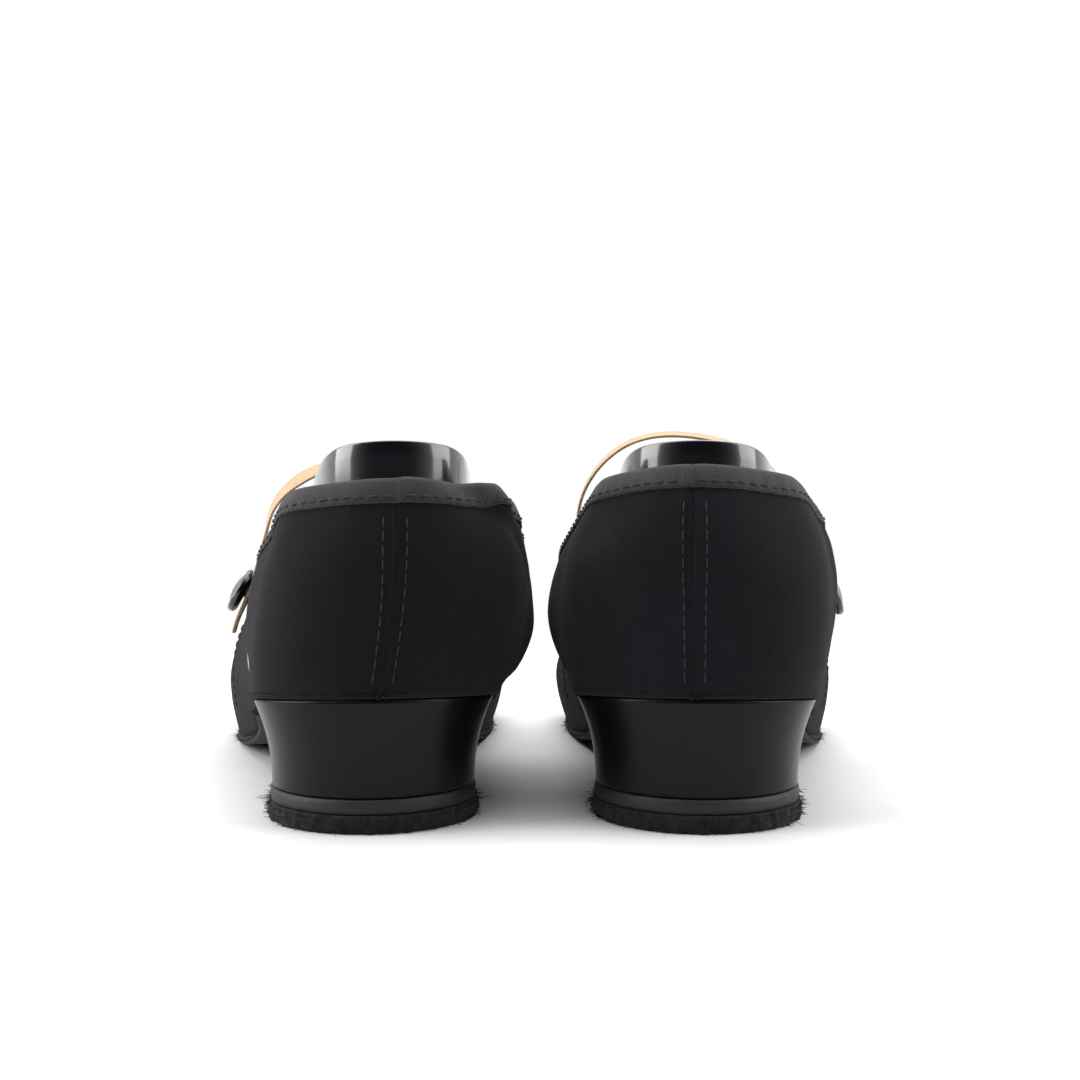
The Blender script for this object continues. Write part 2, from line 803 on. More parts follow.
@dataclass
class LastShape:
    """Outer surface of the lasted upper."""

    shoe_length: float = 245.0
    heel_height: float = 30.0
    sole_gauge: float = 2.5
    toe_spring: float = 6.5
    toe_shift: float = 7.0
    side_share: float = 0.38
    shoulder_share: float = 0.78
    lean: float = 0.0
    lean_at: float = 29.4
    lean_spread: float = 49.0
    side_lean: float = 0.9
    burial: float = 2.0
    slump: float = 0.0
    slump_at: float = 80.85
    slump_spread: float = 31.85
    back_rise: float = 0.0
    outer_drop: float = 0.0
    sections: tuple = (
        Section(0.0, 0.0, 0.0, 0.0, 0.0, 0.0, 60.0, 2.0, 9.0),
        Section(0.5, 5.0, 5.5, 5.5, 4.6, 4.6, 60.0, 2.1, 8.6),
        Section(3.8, 14.0, 15.1, 15.1, 10.4, 10.4, 60.0, 1.6, 6.0),
        Section(8.6, 20.5, 22.3, 22.3, 15.2, 15.2, 60.3, 0.7, 3.0),
        Section(17.0, 26.3, 28.8, 28.8, 19.8, 19.8, 65.5),
        Section(29.4, 28.8, 32.0, 32.3, 22.3, 22.5, 68.0),
        Section(44.1, 29.0, 34.0, 35.5, 25.0, 26.5, 68.0),
        Section(63.7, 28.6, 35.0, 38.5, 28.0, 31.0, 66.0),
        Section(85.8, 28.8, 35.5, 39.5, 29.5, 32.5, 64.5),
        Section(104.1, 31.0, 37.0, 40.0, 29.0, 31.0, 62.3),
        Section(129.9, 36.5, 40.5, 42.5, 29.5, 30.5, 58.5),
        Section(149.5, 40.0, 43.0, 45.0, 30.0, 31.0, 54.0),
        Section(166.6, 41.5, 43.5, 45.5, 30.5, 31.5, 48.0),
        Section(186.2, 40.5, 42.0, 44.0, 29.5, 31.0, 39.5),
        Section(205.8, 36.5, 37.8, 40.0, 26.0, 28.5, 31.5),
        Section(221.7, 29.5, 30.8, 33.0, 21.0, 23.5, 25.0),
        Section(234.0, 20.0, 21.0, 23.5, 14.0, 16.5, 19.0),
        Section(241.3, 11.0, 11.5, 14.0, 7.5, 9.5, 13.5),
        Section(244.5, 4.0, 4.2, 6.0, 2.5, 4.0, 8.5),
        Section(245.0, 0.0, 0.0, 0.0, 0.0, 0.0, 8.0, -0.6, -1.6),
    )
    base_points: tuple = (
        (-12.3, 1.033), (0.0, 1.0), (29.4, 0.9), (63.7, 0.658), (85.8, 0.418), (107.8, 0.196),
        (129.9, 0.051), (149.5, 0.0), (160.0, 0.0), (172.0, 0.0), (181.3, 0.0),
    )
    topline_points: tuple = (
        (-8.1, 50.2), (4.9, 49.0), (29.4, 48.7), (61.3, 45.2), (105.4, 48.2), (134.8, 47.6),
        (151.9, 47.1), (160.5, 49.3), (166.6, 56.0), (170.3, 70.0),
    )

    def __post_init__(self) -> None:
        """Solve the curves that run from the back seam to the toe."""
        fall = self.heel_height - self.sole_gauge
        spring = ((220.5, 0.34 * self.toe_spring / fall), (257.3, 1.35 * self.toe_spring / fall))
        points = self.base_points + spring
        self.base = Smooth([p[0] for p in points], [self.sole_gauge + p[1] * fall for p in points])
        self.topline = Smooth(
            [p[0] for p in self.topline_points],
            [float(self.base(p[0])[0]) + p[1] for p in self.topline_points],
        )
        rows = self.sections
        plan = [(self.centre(row.along) + row.side_out, row.along) for row in rows]
        steps = [math.dist(a, b) for a, b in zip(plan, plan[1:])]
        half = np.concatenate([[0.0], np.cumsum(steps)])
        self.reach = float(half[-1])
        around = np.concatenate([-half[:0:-1], half])
        self.around = {}
        for name, outer, inner, back in (
            ("sole", "sole", "sole", None),
            ("side", "side_out", "side_in", None),
            ("shoulder", "shoulder_out", "shoulder_in", "shoulder_back"),
        ):
            across = [-getattr(row, inner) for row in rows[:0:-1]] + [getattr(row, outer) for row in rows]
            along = [row.along + (getattr(row, back) if back else 0.0) for row in rows]
            self.around[name] = Smooth(around, list(zip(across, along[:0:-1] + along)))
        crown = [(row.crown, row.along + row.crown_back) for row in rows]
        self.around["crown"] = Smooth(around, crown[:0:-1] + crown)

    def centre(self, along: float) -> float:
        """Sideways place of the last's middle."""
        share = min(max((along / self.shoe_length - 0.45) / 0.55, 0.0), 1.0)
        return -self.toe_shift * share * share * (3 - 2 * share)

    def foot(self, along: float) -> float:
        """Height of the upper's underside."""
        return max(float(self.base(along)[0]), self.sole_gauge)

    def rim(self, along: float) -> float:
        """Height of the topline, with this shoe's own rise at the back."""
        rise = self.back_rise * math.exp(-((along / 26.0) ** 2))
        return float(self.topline(min(along, 170.0))[0]) + rise

    def outer_rim(self, along: float) -> float:
        """Height of the topline on the outer wall, where the cloth has crumpled down."""
        return self.rim(along) - self.outer_drop * math.exp(-(((along - 50.0) / 25.0) ** 2))

    def half_points(self, station: float, outer: bool) -> list:
        """Feather, side, shoulder and crown points of one column.

        Args:
            station: distance round the last from the back seam.
            outer: the outer or the inner wall.

        Returns:
            Four points, from the feather up.
        """
        signed = station if outer else -station
        crown_rise, crown_y = self.around["crown"](signed)
        levels = (
            ("sole", 0.0, 0.0, 0.0),
            ("side", self.side_share, self.side_lean, 0.0),
            ("shoulder", self.shoulder_share, 1.0, 1.0 if outer else 0.0),
        )
        points = []
        for name, share, lean, slump in levels:
            across, along = self.around[name](signed)
            across -= lean * self.lean * math.exp(-(((along - self.lean_at) / self.lean_spread) ** 2))
            across -= slump * self.slump * math.exp(-(((along - self.slump_at) / self.slump_spread) ** 2))
            rise = share * crown_rise if share else -self.burial
            points.append((self.centre(along) + across, along, self.foot(along) + rise))
        tipped = self.lean * math.exp(-(((crown_y - self.lean_at) / self.lean_spread) ** 2))
        points.append((self.centre(crown_y) - tipped, crown_y, self.foot(crown_y) + crown_rise))
        return points

    def column(self, station: float, outer: bool) -> tuple[Smooth, float]:
        """Curve up one wall and the station of its crown.

        Args:
            station: distance round the last from the back seam.
            outer: the outer or the inner wall.

        Returns:
            The curve and its crown's station.
        """
        near = self.half_points(station, outer)
        far = self.half_points(station, not outer)
        points = near + far[-2::-1]
        steps = [math.dist(a, b) for a, b in zip(points, points[1:])]
        stations = np.concatenate([[0.0], np.cumsum(np.maximum(steps, 1e-4))])
        return Smooth(stations, points), float(stations[3])

    def crossing(self, curve: Smooth, crown: float, height: Callable[[float], float]) -> float:
        """Station where a column rises through a height that depends on Y, or its crown.

        Args:
            curve: the column.
            crown: the column's last station.
            height: the height as a function of Y.

        Returns:
            The station.
        """
        point = curve(crown)
        if point[2] <= height(point[1]):
            return crown
        low, high = 0.0, crown
        for _ in range(26):
            middle = (low + high) / 2
            point = curve(middle)
            if point[2] < height(point[1]):
                low = middle
            else:
                high = middle
        return low


@dataclass
class SoftUpper:
    """Canvas upper of one shoe, with its lining, binding tape and stitching."""

    shoe: ShoeFrame
    finishes: Finishes
    last: LastShape
    folds: tuple = ()
    ruffle: float = 0.0
    canvas: float = 1.0
    lining: float = 0.6
    lining_depth: float = 1.15
    rows: int = 34
    column_step: float = 1.7
    fine_step: float = 0.45
    throat: tuple = (148.0, 163.0)
    tuck: tuple = ((1.2, 0.15), (5.0, 0.35))
    seam_groove: float = 0.4
    cutting_share: float = 0.8
    seam_top: tuple = (111.97, 60.0)
    seam_foot: tuple = (128.63, -10.0)

    def __post_init__(self) -> None:
        """Lay out the whole upper as one grid, ready to be cut into its pieces."""
        self.stations = self.column_places()
        outer = self.wall(True)
        inner = self.wall(False)
        self.grids = (outer, inner)
        self.walls = {"quarter_lateral": self.wall_patch(outer), "quarter_medial": self.wall_patch(inner)}
        self.skin = Patch()
        for wall in self.walls.values():
            self.skin.join(wall)
        self.tree = BVHTree.FromPolygons(self.skin.points, self.skin.faces)
        self.edge = self.topline_loop(outer, inner)

    def column_places(self) -> list:
        """Places of the columns round the last, closer together at the throat.

        Returns:
            The stations, from the back seam.
        """
        places = [0.0]
        while places[-1] < self.last.reach - 0.3:
            along = self.last.around["side"](places[-1])[1]
            near = self.throat[0] <= along <= self.throat[1]
            ends = places[-1] < 6.0 or places[-1] > self.last.reach - 20.0
            places.append(places[-1] + (self.fine_step if near else 0.8 if ends else self.column_step))
        places[-1] = self.last.reach
        return places

    def wall(self, outer: bool) -> np.ndarray:
        """Points of one wall, by column and then by row from the feather up.

        Args:
            outer: the outer or the inner wall.

        Returns:
            Grid of points in the shoe's frame, in mm.
        """
        columns = []
        for station in self.stations:
            curve, crown = self.last.column(station, outer)
            low = self.last.crossing(curve, crown, self.last.foot)
            top = self.last.crossing(curve, crown, self.last.outer_rim if outer else self.last.rim)
            columns.append([curve(where) for where in np.linspace(low, top, self.rows)])
        points = np.array(columns)
        run = np.gradient(points, axis=0)
        rise = np.gradient(points, axis=1)
        normals = np.cross(run, rise) * (1.0 if outer else -1.0)
        sizes = np.linalg.norm(normals, axis=2, keepdims=True)
        normals = normals / np.maximum(sizes, 1e-9)
        for i in range(points.shape[0]):
            for j in range(self.rows):
                share = j / (self.rows - 1)
                points[i, j] += normals[i, j] * self.softness(points[i, j], outer, share, self.stations[i])
        return self.with_tuck(points)

    def with_tuck(self, points: np.ndarray) -> np.ndarray:
        """Add the rows that turn in under the insole board.

        Args:
            points: grid of one wall.

        Returns:
            The grid with the turned-in rows in front.
        """
        foot = points[:, 0]
        heading = np.gradient(foot, axis=0)
        heading[:, 2] = 0.0
        heading /= np.maximum(np.linalg.norm(heading, axis=1, keepdims=True), 1e-9)
        inward = np.stack([-heading[:, 1], heading[:, 0], np.zeros(len(foot))], axis=1)
        # A place on the last's own middle line has no side, so it first turns towards X = 0.
        inward *= -np.sign(inward[:, :1] * foot[:, :1] + 1e-9)
        middle = np.stack([[self.last.centre(y), y, 0.0] for _, y, _ in foot])
        towards = middle - foot
        towards[:, 2] = 0.0
        flip = np.sign((inward * towards).sum(axis=1, keepdims=True))
        inward *= np.where(flip == 0, 1.0, flip)
        rows = []
        for inset, lift in reversed(self.tuck):
            rows.append(foot + inward * inset + np.array([0.0, 0.0, lift]))
        return np.concatenate([np.stack(rows, axis=1), points], axis=1)

    def softness(self, point: np.ndarray, outer: bool, share: float, station: float) -> float:
        """How far the soft cloth stands off the last: folds, ruffle, back seam and slack.

        Args:
            point: the place on the last.
            outer: the outer or the inner wall.
            share: how far up its column the place is.
            station: distance round the last from the back seam.

        Returns:
            The distance outwards.
        """
        x, y, z = point
        move = 0.35 * noise.noise(Vector((x, y, z)) / 21.0) + 0.16 * noise.noise(Vector((x, y, z)) / 7.0)
        if station < 14.0:
            move -= self.seam_groove * math.exp(-((station / 0.8) ** 2))
            move += 0.22 * math.exp(-(((station - 2.4) / 1.3) ** 2))
        for fold in self.folds:
            if fold.outer != outer:
                continue
            reach = y - fold.along
            rise = z - fold.height
            turn = math.radians(fold.angle)
            length = reach * math.cos(turn) + rise * math.sin(turn)
            width = -reach * math.sin(turn) + rise * math.cos(turn)
            move += fold.depth * math.exp(-((length / fold.length) ** 2) - (width / fold.width) ** 2)
        if self.ruffle and not outer and y < 90.0:
            fade = max(0.0, (share - 0.72) / 0.28) ** 1.5
            wave = math.sin(y / 2.6 + 1.3 * math.sin(y / 9.0))
            move += self.ruffle * fade * wave * math.exp(-(((y - 30.0) / 34.0) ** 2))
        return move * min(1.0, share * 6.0)

    def wall_patch(self, points: np.ndarray) -> Patch:
        """Quads over one wall, with cloth coordinates measured along its threads.

        Args:
            points: grid of one wall.

        Returns:
            The wall as a patch.
        """
        patch = skin(points, closed=False, caps=False)
        run = np.linalg.norm(np.diff(points, axis=0), axis=2)
        run = np.concatenate([np.zeros((1, points.shape[1])), np.cumsum(run, axis=0)])
        rise = np.linalg.norm(np.diff(points, axis=1), axis=2)
        rise = np.concatenate([np.zeros((points.shape[0], 1)), np.cumsum(rise, axis=1)], axis=1)
        patch.cloth = [
            (run[i, j], rise[i, j]) for i in range(points.shape[0]) for j in range(points.shape[1])
        ]
        return patch

    def topline_loop(self, outer: np.ndarray, inner: np.ndarray) -> np.ndarray:
        """Edge of the foot opening: forwards along the outer wall and back along the inner one.

        Args:
            outer: grid of the outer wall.
            inner: grid of the inner wall.

        Returns:
            The closed loop of points.
        """
        open_columns = [i for i in range(len(self.stations)) if abs(outer[i, -1, 0] - inner[i, -1, 0]) > 0.4]
        last = max(i for i in open_columns if outer[i, -1, 1] < self.throat[1]) + 1
        chain = [outer[i, -1] for i in range(0, last + 1)] + [inner[i, -1] for i in range(last, 0, -1)]
        loop = evenly(chain, 1.3, closed=True)
        for _ in range(2):
            loop = 0.5 * loop + 0.25 * (np.roll(loop, 1, axis=0) + np.roll(loop, -1, axis=0))
        return loop

    def snap(self, point: Sequence[float], offset: float) -> tuple[Vector, Vector]:
        """Nearest place on the canvas, moved out along its normal.

        Args:
            point: any point near the canvas.
            offset: distance out of the canvas's outer face.

        Returns:
            The moved place and the outward normal.
        """
        place, normal, _, _ = self.tree.find_nearest(Vector(point))
        inside = min(max(place.y, 25.0), 215.0)
        away = place - Vector((self.last.centre(inside), inside, self.last.foot(inside) + 16.0))
        if normal.dot(away) < 0:
            normal = -normal
        return place + normal * offset, normal

    def cut(self, patch: Patch, planes: Iterable[tuple]) -> Patch:
        """Keep the part of a patch behind each plane.

        Args:
            patch: the patch to cut.
            planes: point and outward normal of each plane.

        Returns:
            The cut patch.
        """
        work = bmesh.new()
        layer = work.verts.layers.float_vector.new("cloth")
        for point, cloth in zip(patch.points, patch.cloth):
            vertex = work.verts.new(point)
            vertex[layer] = (cloth[0], cloth[1], 0.0)
        work.verts.ensure_lookup_table()
        for face in patch.faces:
            work.faces.new([work.verts[corner] for corner in face])
        for place, normal in planes:
            everything = work.verts[:] + work.edges[:] + work.faces[:]
            bmesh.ops.bisect_plane(
                work, geom=everything, plane_co=place, plane_no=normal, clear_outer=True, dist=1e-5
            )
        work.verts.index_update()
        kept = Patch(
            points=[tuple(vertex.co) for vertex in work.verts],
            faces=[tuple(vertex.index for vertex in face.verts) for face in work.faces],
            cloth=[tuple(vertex[layer])[:2] for vertex in work.verts],
        )
        work.free()
        return kept

    def seam_normal(self) -> Vector:
        """Forward direction square to the side seams."""
        lean = Vector((0.0, self.seam_top[0] - self.seam_foot[0], self.seam_top[1] - self.seam_foot[1]))
        return Vector((0.0, lean.z, -lean.y)).normalized()

    def offset(self, patch: Patch, distance: float) -> Patch:
        """Copy of a patch, moved along its outward normals."""
        moved = [tuple(self.snap(point, distance)[0]) for point in patch.points]
        return Patch(points=moved, faces=list(patch.faces), cloth=list(patch.cloth))

    def thicken(self, piece: bpy.types.Object, thickness: float) -> None:
        """Give a cloth its thickness, inwards from its outer face.

        Args:
            piece: the sheet.
            thickness: gauge of the cloth.
        """
        self.face_outwards(piece)
        solid = piece.modifiers.new("cloth_thickness", "SOLIDIFY")
        solid.thickness = thickness * MM
        solid.offset = -1.0
        solid.use_even_offset = False

    def face_outwards(self, piece: bpy.types.Object) -> None:
        """Turn a sheet's faces away from the foot.

        Args:
            piece: the sheet.
        """
        middle = self.shoe.place((0.0, 80.0, 40.0))
        votes = 0.0
        for face in piece.data.polygons:
            away = face.center - middle
            votes += face.area * face.normal.dot(Vector((away.x, away.y * 0.3, away.z * 0.3)))
        if votes < 0:
            piece.data.flip_normals()

    def build(self) -> None:
        """Make every piece of the upper."""
        ahead = self.seam_normal()
        foot = Vector((0.0, self.seam_foot[0], self.seam_foot[1]))
        inside = self.offset(self.skin, -self.lining_depth)
        pieces = (
            ("quarter_lateral", "canvas", self.walls["quarter_lateral"], (foot, ahead)),
            ("quarter_medial", "canvas", self.walls["quarter_medial"], (foot, ahead)),
            ("vamp", "canvas", self.skin, (foot, -ahead)),
            ("lining_quarter", "lining", inside, (foot, ahead)),
            ("lining_vamp", "lining", inside, (foot, -ahead)),
        )
        for name, slot, patch, plane in pieces:
            piece = self.shoe.make(name, self.cut(patch, (plane,)), slot, self.finishes, "shoe")
            self.thicken(piece, self.canvas if slot == "canvas" else self.lining)
            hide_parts(self.shoe.node(name))
        self.build_binding()
        self.build_seams()

    def build_binding(self) -> None:
        """Fold the tape over the topline and sew it down."""
        profile = (
            (0.12, 5.3), (0.5, 5.2), (0.62, 4.4), (0.68, 2.4), (0.72, 0.6), (0.45, -0.35), (-0.3, -0.75),
            (-1.2, -0.8), (-2.1, -0.5), (-2.6, 0.3), (-2.7, 2.4), (-2.6, 4.6), (-2.1, 4.9), (-2.0, 4.2),
            (-2.0, 0.8), (-0.9, 0.1), (0.1, 0.6), (0.12, 3.0),
        )
        count = len(self.edge)
        rings = []
        sewing = []
        facing = []
        for index in range(count):
            here = Vector(self.edge[index])
            run = Vector(self.edge[(index + 1) % count]) - Vector(self.edge[index - 1])
            run.normalize()
            _, normal = self.snap(here, 0.0)
            down = run.cross(normal).normalized()
            pucker = 0.1 * math.sin(index * 1.9)
            ring = []
            for away, depth in profile:
                if depth > 1.0:
                    place, out = self.snap(here + down * depth, 0.0)
                    ring.append(place + out * (away + pucker * (away > 0)))
                else:
                    ring.append(here + down * depth + normal * away)
            rings.append(ring)
            place, out = self.snap(here + down * 3.9, 0.72)
            sewing.append(place)
            facing.append(out)
        tape = skin(rings, loop=True)
        piece = self.shoe.make("topline_binding", tape, "binding_tape", self.finishes, "shoe")
        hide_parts(self.shoe.node("topline_binding"))
        row = stitch_row(sewing, facing, 2.3, 0.9, 0.2)
        self.shoe.make("binding_stitching", row, "thread", self.finishes, "shoe")

    def build_seams(self) -> None:
        """Topstitch both sides of the back seam and of each side seam."""
        sewing = Patch()
        ahead = self.seam_normal()
        beside = int(np.searchsorted(self.stations, 2.4))
        for grid in self.grids:
            column = [point for point in grid[beside] if point[2] < self.last.rim(3.0) - 5.5]
            snapped = [self.snap(point, 0.06) for point in column[4:]]
            places, facing = zip(*snapped)
            sewing.join(stitch_row(places, facing, 2.2, 0.9, 0.15))
        for across in (-60.0, 60.0):
            for shift in (1.6, 3.6):
                places, facing = [], []
                height = self.last.foot(120.0) + 3.0
                lean = (self.seam_top[0] - self.seam_foot[0]) / (self.seam_top[1] - self.seam_foot[1])
                while height < self.last.rim(113.0) - 5.5:
                    along = self.seam_foot[0] + lean * (height - self.seam_foot[1])
                    place, out = self.snap(Vector((across, along, height)) - ahead * shift, 0.08)
                    places.append(place)
                    facing.append(out)
                    height += 1.2
                sewing.join(stitch_row(places, facing, 2.2, 0.9, 0.17))
        self.shoe.make("seam_stitching", sewing, "thread", self.finishes, "shoe")


# ---------------------------------------------------------------------------------------------
# Heel and sole
# ---------------------------------------------------------------------------------------------


@dataclass
class CubanHeel:
    """Moulded heel block with its rubber lift and frayed suede top piece."""

    shoe: ShoeFrame
    finishes: Finishes
    last: LastShape
    seat_half: float = 29.6
    base_half: float = 23.7
    base_length: float = 46.5
    pitch: float = 3.2
    breast_lean: float = 0.48
    corner: float = 2.2
    block_foot: float = 7.6
    flare_power: float = 2.2
    levels: tuple = (0.0, 0.012, 0.04, 0.12, 0.22, 0.32, 0.42, 0.52, 0.62, 0.72, 0.81, 0.89, 0.95, 0.98, 1.0)
    lift_span: tuple = (4.1, 7.5)
    top_piece_span: tuple = (0.05, 4.0)

    def outline(self, height: float, margin: float) -> np.ndarray:
        """D-shaped outline at a height, from the breast round the back.

        Args:
            height: above the floor.
            margin: how far it stands out of the block.

        Returns:
            Points with X and Y.
        """
        share = max(0.0, (height - self.block_foot) / (self.last.heel_height - self.block_foot))
        flare = min(share, 1.1) ** self.flare_power
        half = self.base_half + (self.seat_half - self.base_half) * flare + margin
        back = self.pitch * (1 - share) - margin
        breast = self.pitch + self.base_length + self.breast_lean * (height - self.block_foot) + margin
        depth = half * 1.03
        points = []
        for step in range(5):
            turn = math.radians(90.0 * step / 4)
            points.append(
                (
                    0.985 * half - self.corner * (1 - math.sin(turn)),
                    breast - self.corner * (1 - math.cos(turn)),
                )
            )
        for step in range(1, 6):
            points.append((half * (0.985 + 0.003 * step), breast + (back + depth - breast) * step / 6))
        for step in range(57):
            turn = math.pi * step / 56
            points.append((half * math.cos(turn), back + depth - depth * math.sin(turn)))
        mirrored = [(-x, y) for x, y in reversed(points[:10])]
        return np.array(points + mirrored)

    def shrunk(self, outline: np.ndarray, inset: float) -> np.ndarray:
        """Outline moved in towards its middle.

        Args:
            outline: points round the heel.
            inset: how far they move in.

        Returns:
            The smaller outline.
        """
        middle = np.array([0.0, 27.0])
        away = outline - middle
        sizes = np.linalg.norm(away, axis=1, keepdims=True)
        return middle + away * (1.0 - inset / sizes)

    def build_block(self) -> None:
        """Mould the block: concave flanks, a flat breast and softened rims."""
        rings = []
        for share in self.levels:
            height = self.block_foot + share * (self.last.heel_height - self.block_foot)
            plan = self.outline(height, 0.0)
            tops = np.array([self.last.foot(y) - 0.12 for _, y in plan])
            heights = self.block_foot + share * (tops - self.block_foot)
            plan = np.array([self.outline(h, 0.0)[i] for i, h in enumerate(heights)])
            rim = 0.55 if share in (self.levels[0], self.levels[-1]) else 0.0
            plan = self.shrunk(plan, rim)
            rings.append(np.column_stack([plan, heights]))
        block = skin(rings)
        piece = self.shoe.make("heel_block", block, "heel_plastic", self.finishes, "shoe")
        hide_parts(self.shoe.node("heel_block"))

    def build_layer(self, name: str, slot: str, span: tuple, margin: float, rough: float, seed: int) -> None:
        """Cut a flat layer to the heel's outline, with a more or less ragged edge.

        Args:
            name: the piece's name.
            slot: its material slot.
            span: heights of its faces.
            margin: how far it stands out of the block.
            rough: how uneven its cut edge is.
            seed: seed of the unevenness.
        """
        low, high = span
        rings = []
        rows = (
            (0.0, 1.2), (0.0, 0.5), (0.12, 0.12), (0.35, 0.0),
            (0.65, 0.0), (0.88, 0.1), (1.0, 0.4), (1.0, 1.2),
        )
        base = evenly(
            [(x, y, 0.0) for x, y in self.outline(self.block_foot, margin)], 0.9, closed=True
        )[:, :2]
        for share, inset in rows:
            plan = self.shrunk(base, inset)
            ring = []
            for x, y in plan:
                lump = rough * noise.noise(Vector((x * 0.9, y * 0.9, share * 3 + seed)))
                fine = 0.4 * rough * noise.noise(Vector((x * 3.1, y * 3.1, share * 9 + seed)))
                scale = 1.0 + (lump + fine) / 24.0
                ring.append((x * scale, 27.0 + (y - 27.0) * scale, low + share * (high - low)))
            rings.append(ring)
        piece = self.shoe.make(name, skin(rings), slot, self.finishes, "shoe")
        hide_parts(self.shoe.node(name))

    def build(self) -> None:
        """Make the block, the lift and the top piece with its loose fibres."""
        self.build_block()
        self.build_layer("heel_lift", "lift_rubber", self.lift_span, 0.35, 0.15, 3)
        self.build_layer("heel_top_piece", "suede", self.top_piece_span, 0.75, 0.9, 7)
        rim = evenly([(x, y, 0.0) for x, y in self.outline(self.block_foot, 0.6)], 0.7, closed=True)
        outward = [Vector((x, y - 27.0, 0.0)).normalized() for x, y, _ in rim]
        fibres = Patch()
        for height, count, longest, seed in ((3.5, 520, 2.6, 11), (2.0, 420, 2.0, 12), (0.6, 420, 1.8, 13)):
            edge = [(x, y, height) for x, y, _ in rim]
            seed += 20 if self.shoe.side is Side.LEFT else 0
            fibres.join(Fray(count, longest, 0.06, seed).grow(edge, outward, 0.3))
        self.shoe.make("top_piece_fray", fibres, "suede", self.finishes, "shoe")


@dataclass
class SuedeSole:
    """Napped outsole from the heel breast to the toe, with a frayed edge."""

    shoe: ShoeFrame
    finishes: Finishes
    last: LastShape
    gauge: float = 2.4
    margin: float = 1.0
    breast: float = 57.0
    lanes: int = 9

    def edge_points(self) -> tuple[list, list]:
        """Outer and inner edge of the sole, from the breast to the toe.

        Returns:
            Two lists of points.
        """
        outer, inner = [], []
        count = 150
        for step in range(count + 1):
            station = self.last.reach * step / count
            for signed, side in ((station, outer), (-station, inner)):
                ahead = self.last.around["sole"](signed + 0.5)
                behind = self.last.around["sole"](signed - 0.5)
                here = self.last.around["sole"](signed)
                run = np.array(ahead) - np.array(behind)
                run /= max(float(np.linalg.norm(run)), 1e-9)
                x = self.last.centre(here[1]) + here[0] + run[1] * self.margin
                y = here[1] - run[0] * self.margin
                if y > self.breast:
                    side.append((x, y))
        return outer, inner

    def build(self) -> None:
        """Make the sole as lanes between its two edges, then grow its fibres."""
        outer, inner = self.edge_points()
        count = min(len(outer), len(inner))
        rings = []
        for (x_out, y_out), (x_in, y_in) in zip(outer[:count], inner[:count]):
            y = (y_out + y_in) / 2
            top = self.last.foot(y) - 0.12
            low = top - self.gauge
            middle, half = (x_out + x_in) / 2, (x_out - x_in) / 2
            half += 0.25 * noise.noise(Vector((y * 0.9, 0.0, 4.0)))
            upper = [(middle + half * share, y, top) for share in np.linspace(0.985, -0.985, self.lanes)]
            lower = [(middle + half * share, y, low) for share in np.linspace(-0.985, 0.985, self.lanes)]
            ring = [(middle + half, y, top - 0.6), *upper, (middle - half, y, top - 0.6)]
            rings.append([*ring, (middle - half, y, low + 0.6), *lower, (middle + half, y, low + 0.6)])
        piece = self.shoe.make("outsole", skin(rings), "suede", self.finishes, "shoe")
        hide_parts(self.shoe.node("outsole"))
        edge = [*outer[:count], *reversed(inner[:count])]
        chain = evenly([(x, y, self.last.foot(y) - 1.2) for x, y in edge], 1.0)
        outward = []
        for index in range(len(chain)):
            run = Vector(chain[min(index + 1, len(chain) - 1)]) - Vector(chain[max(index - 1, 0)])
            outward.append(Vector((run.y, -run.x, 0.0)).normalized())
        fibres = Fray(1500, 1.7, 0.055, 31).grow(chain, outward, 0.4)
        self.shoe.make("outsole_fray", fibres, "suede", self.finishes, "shoe")


# ---------------------------------------------------------------------------------------------
# Strap, button and former
# ---------------------------------------------------------------------------------------------


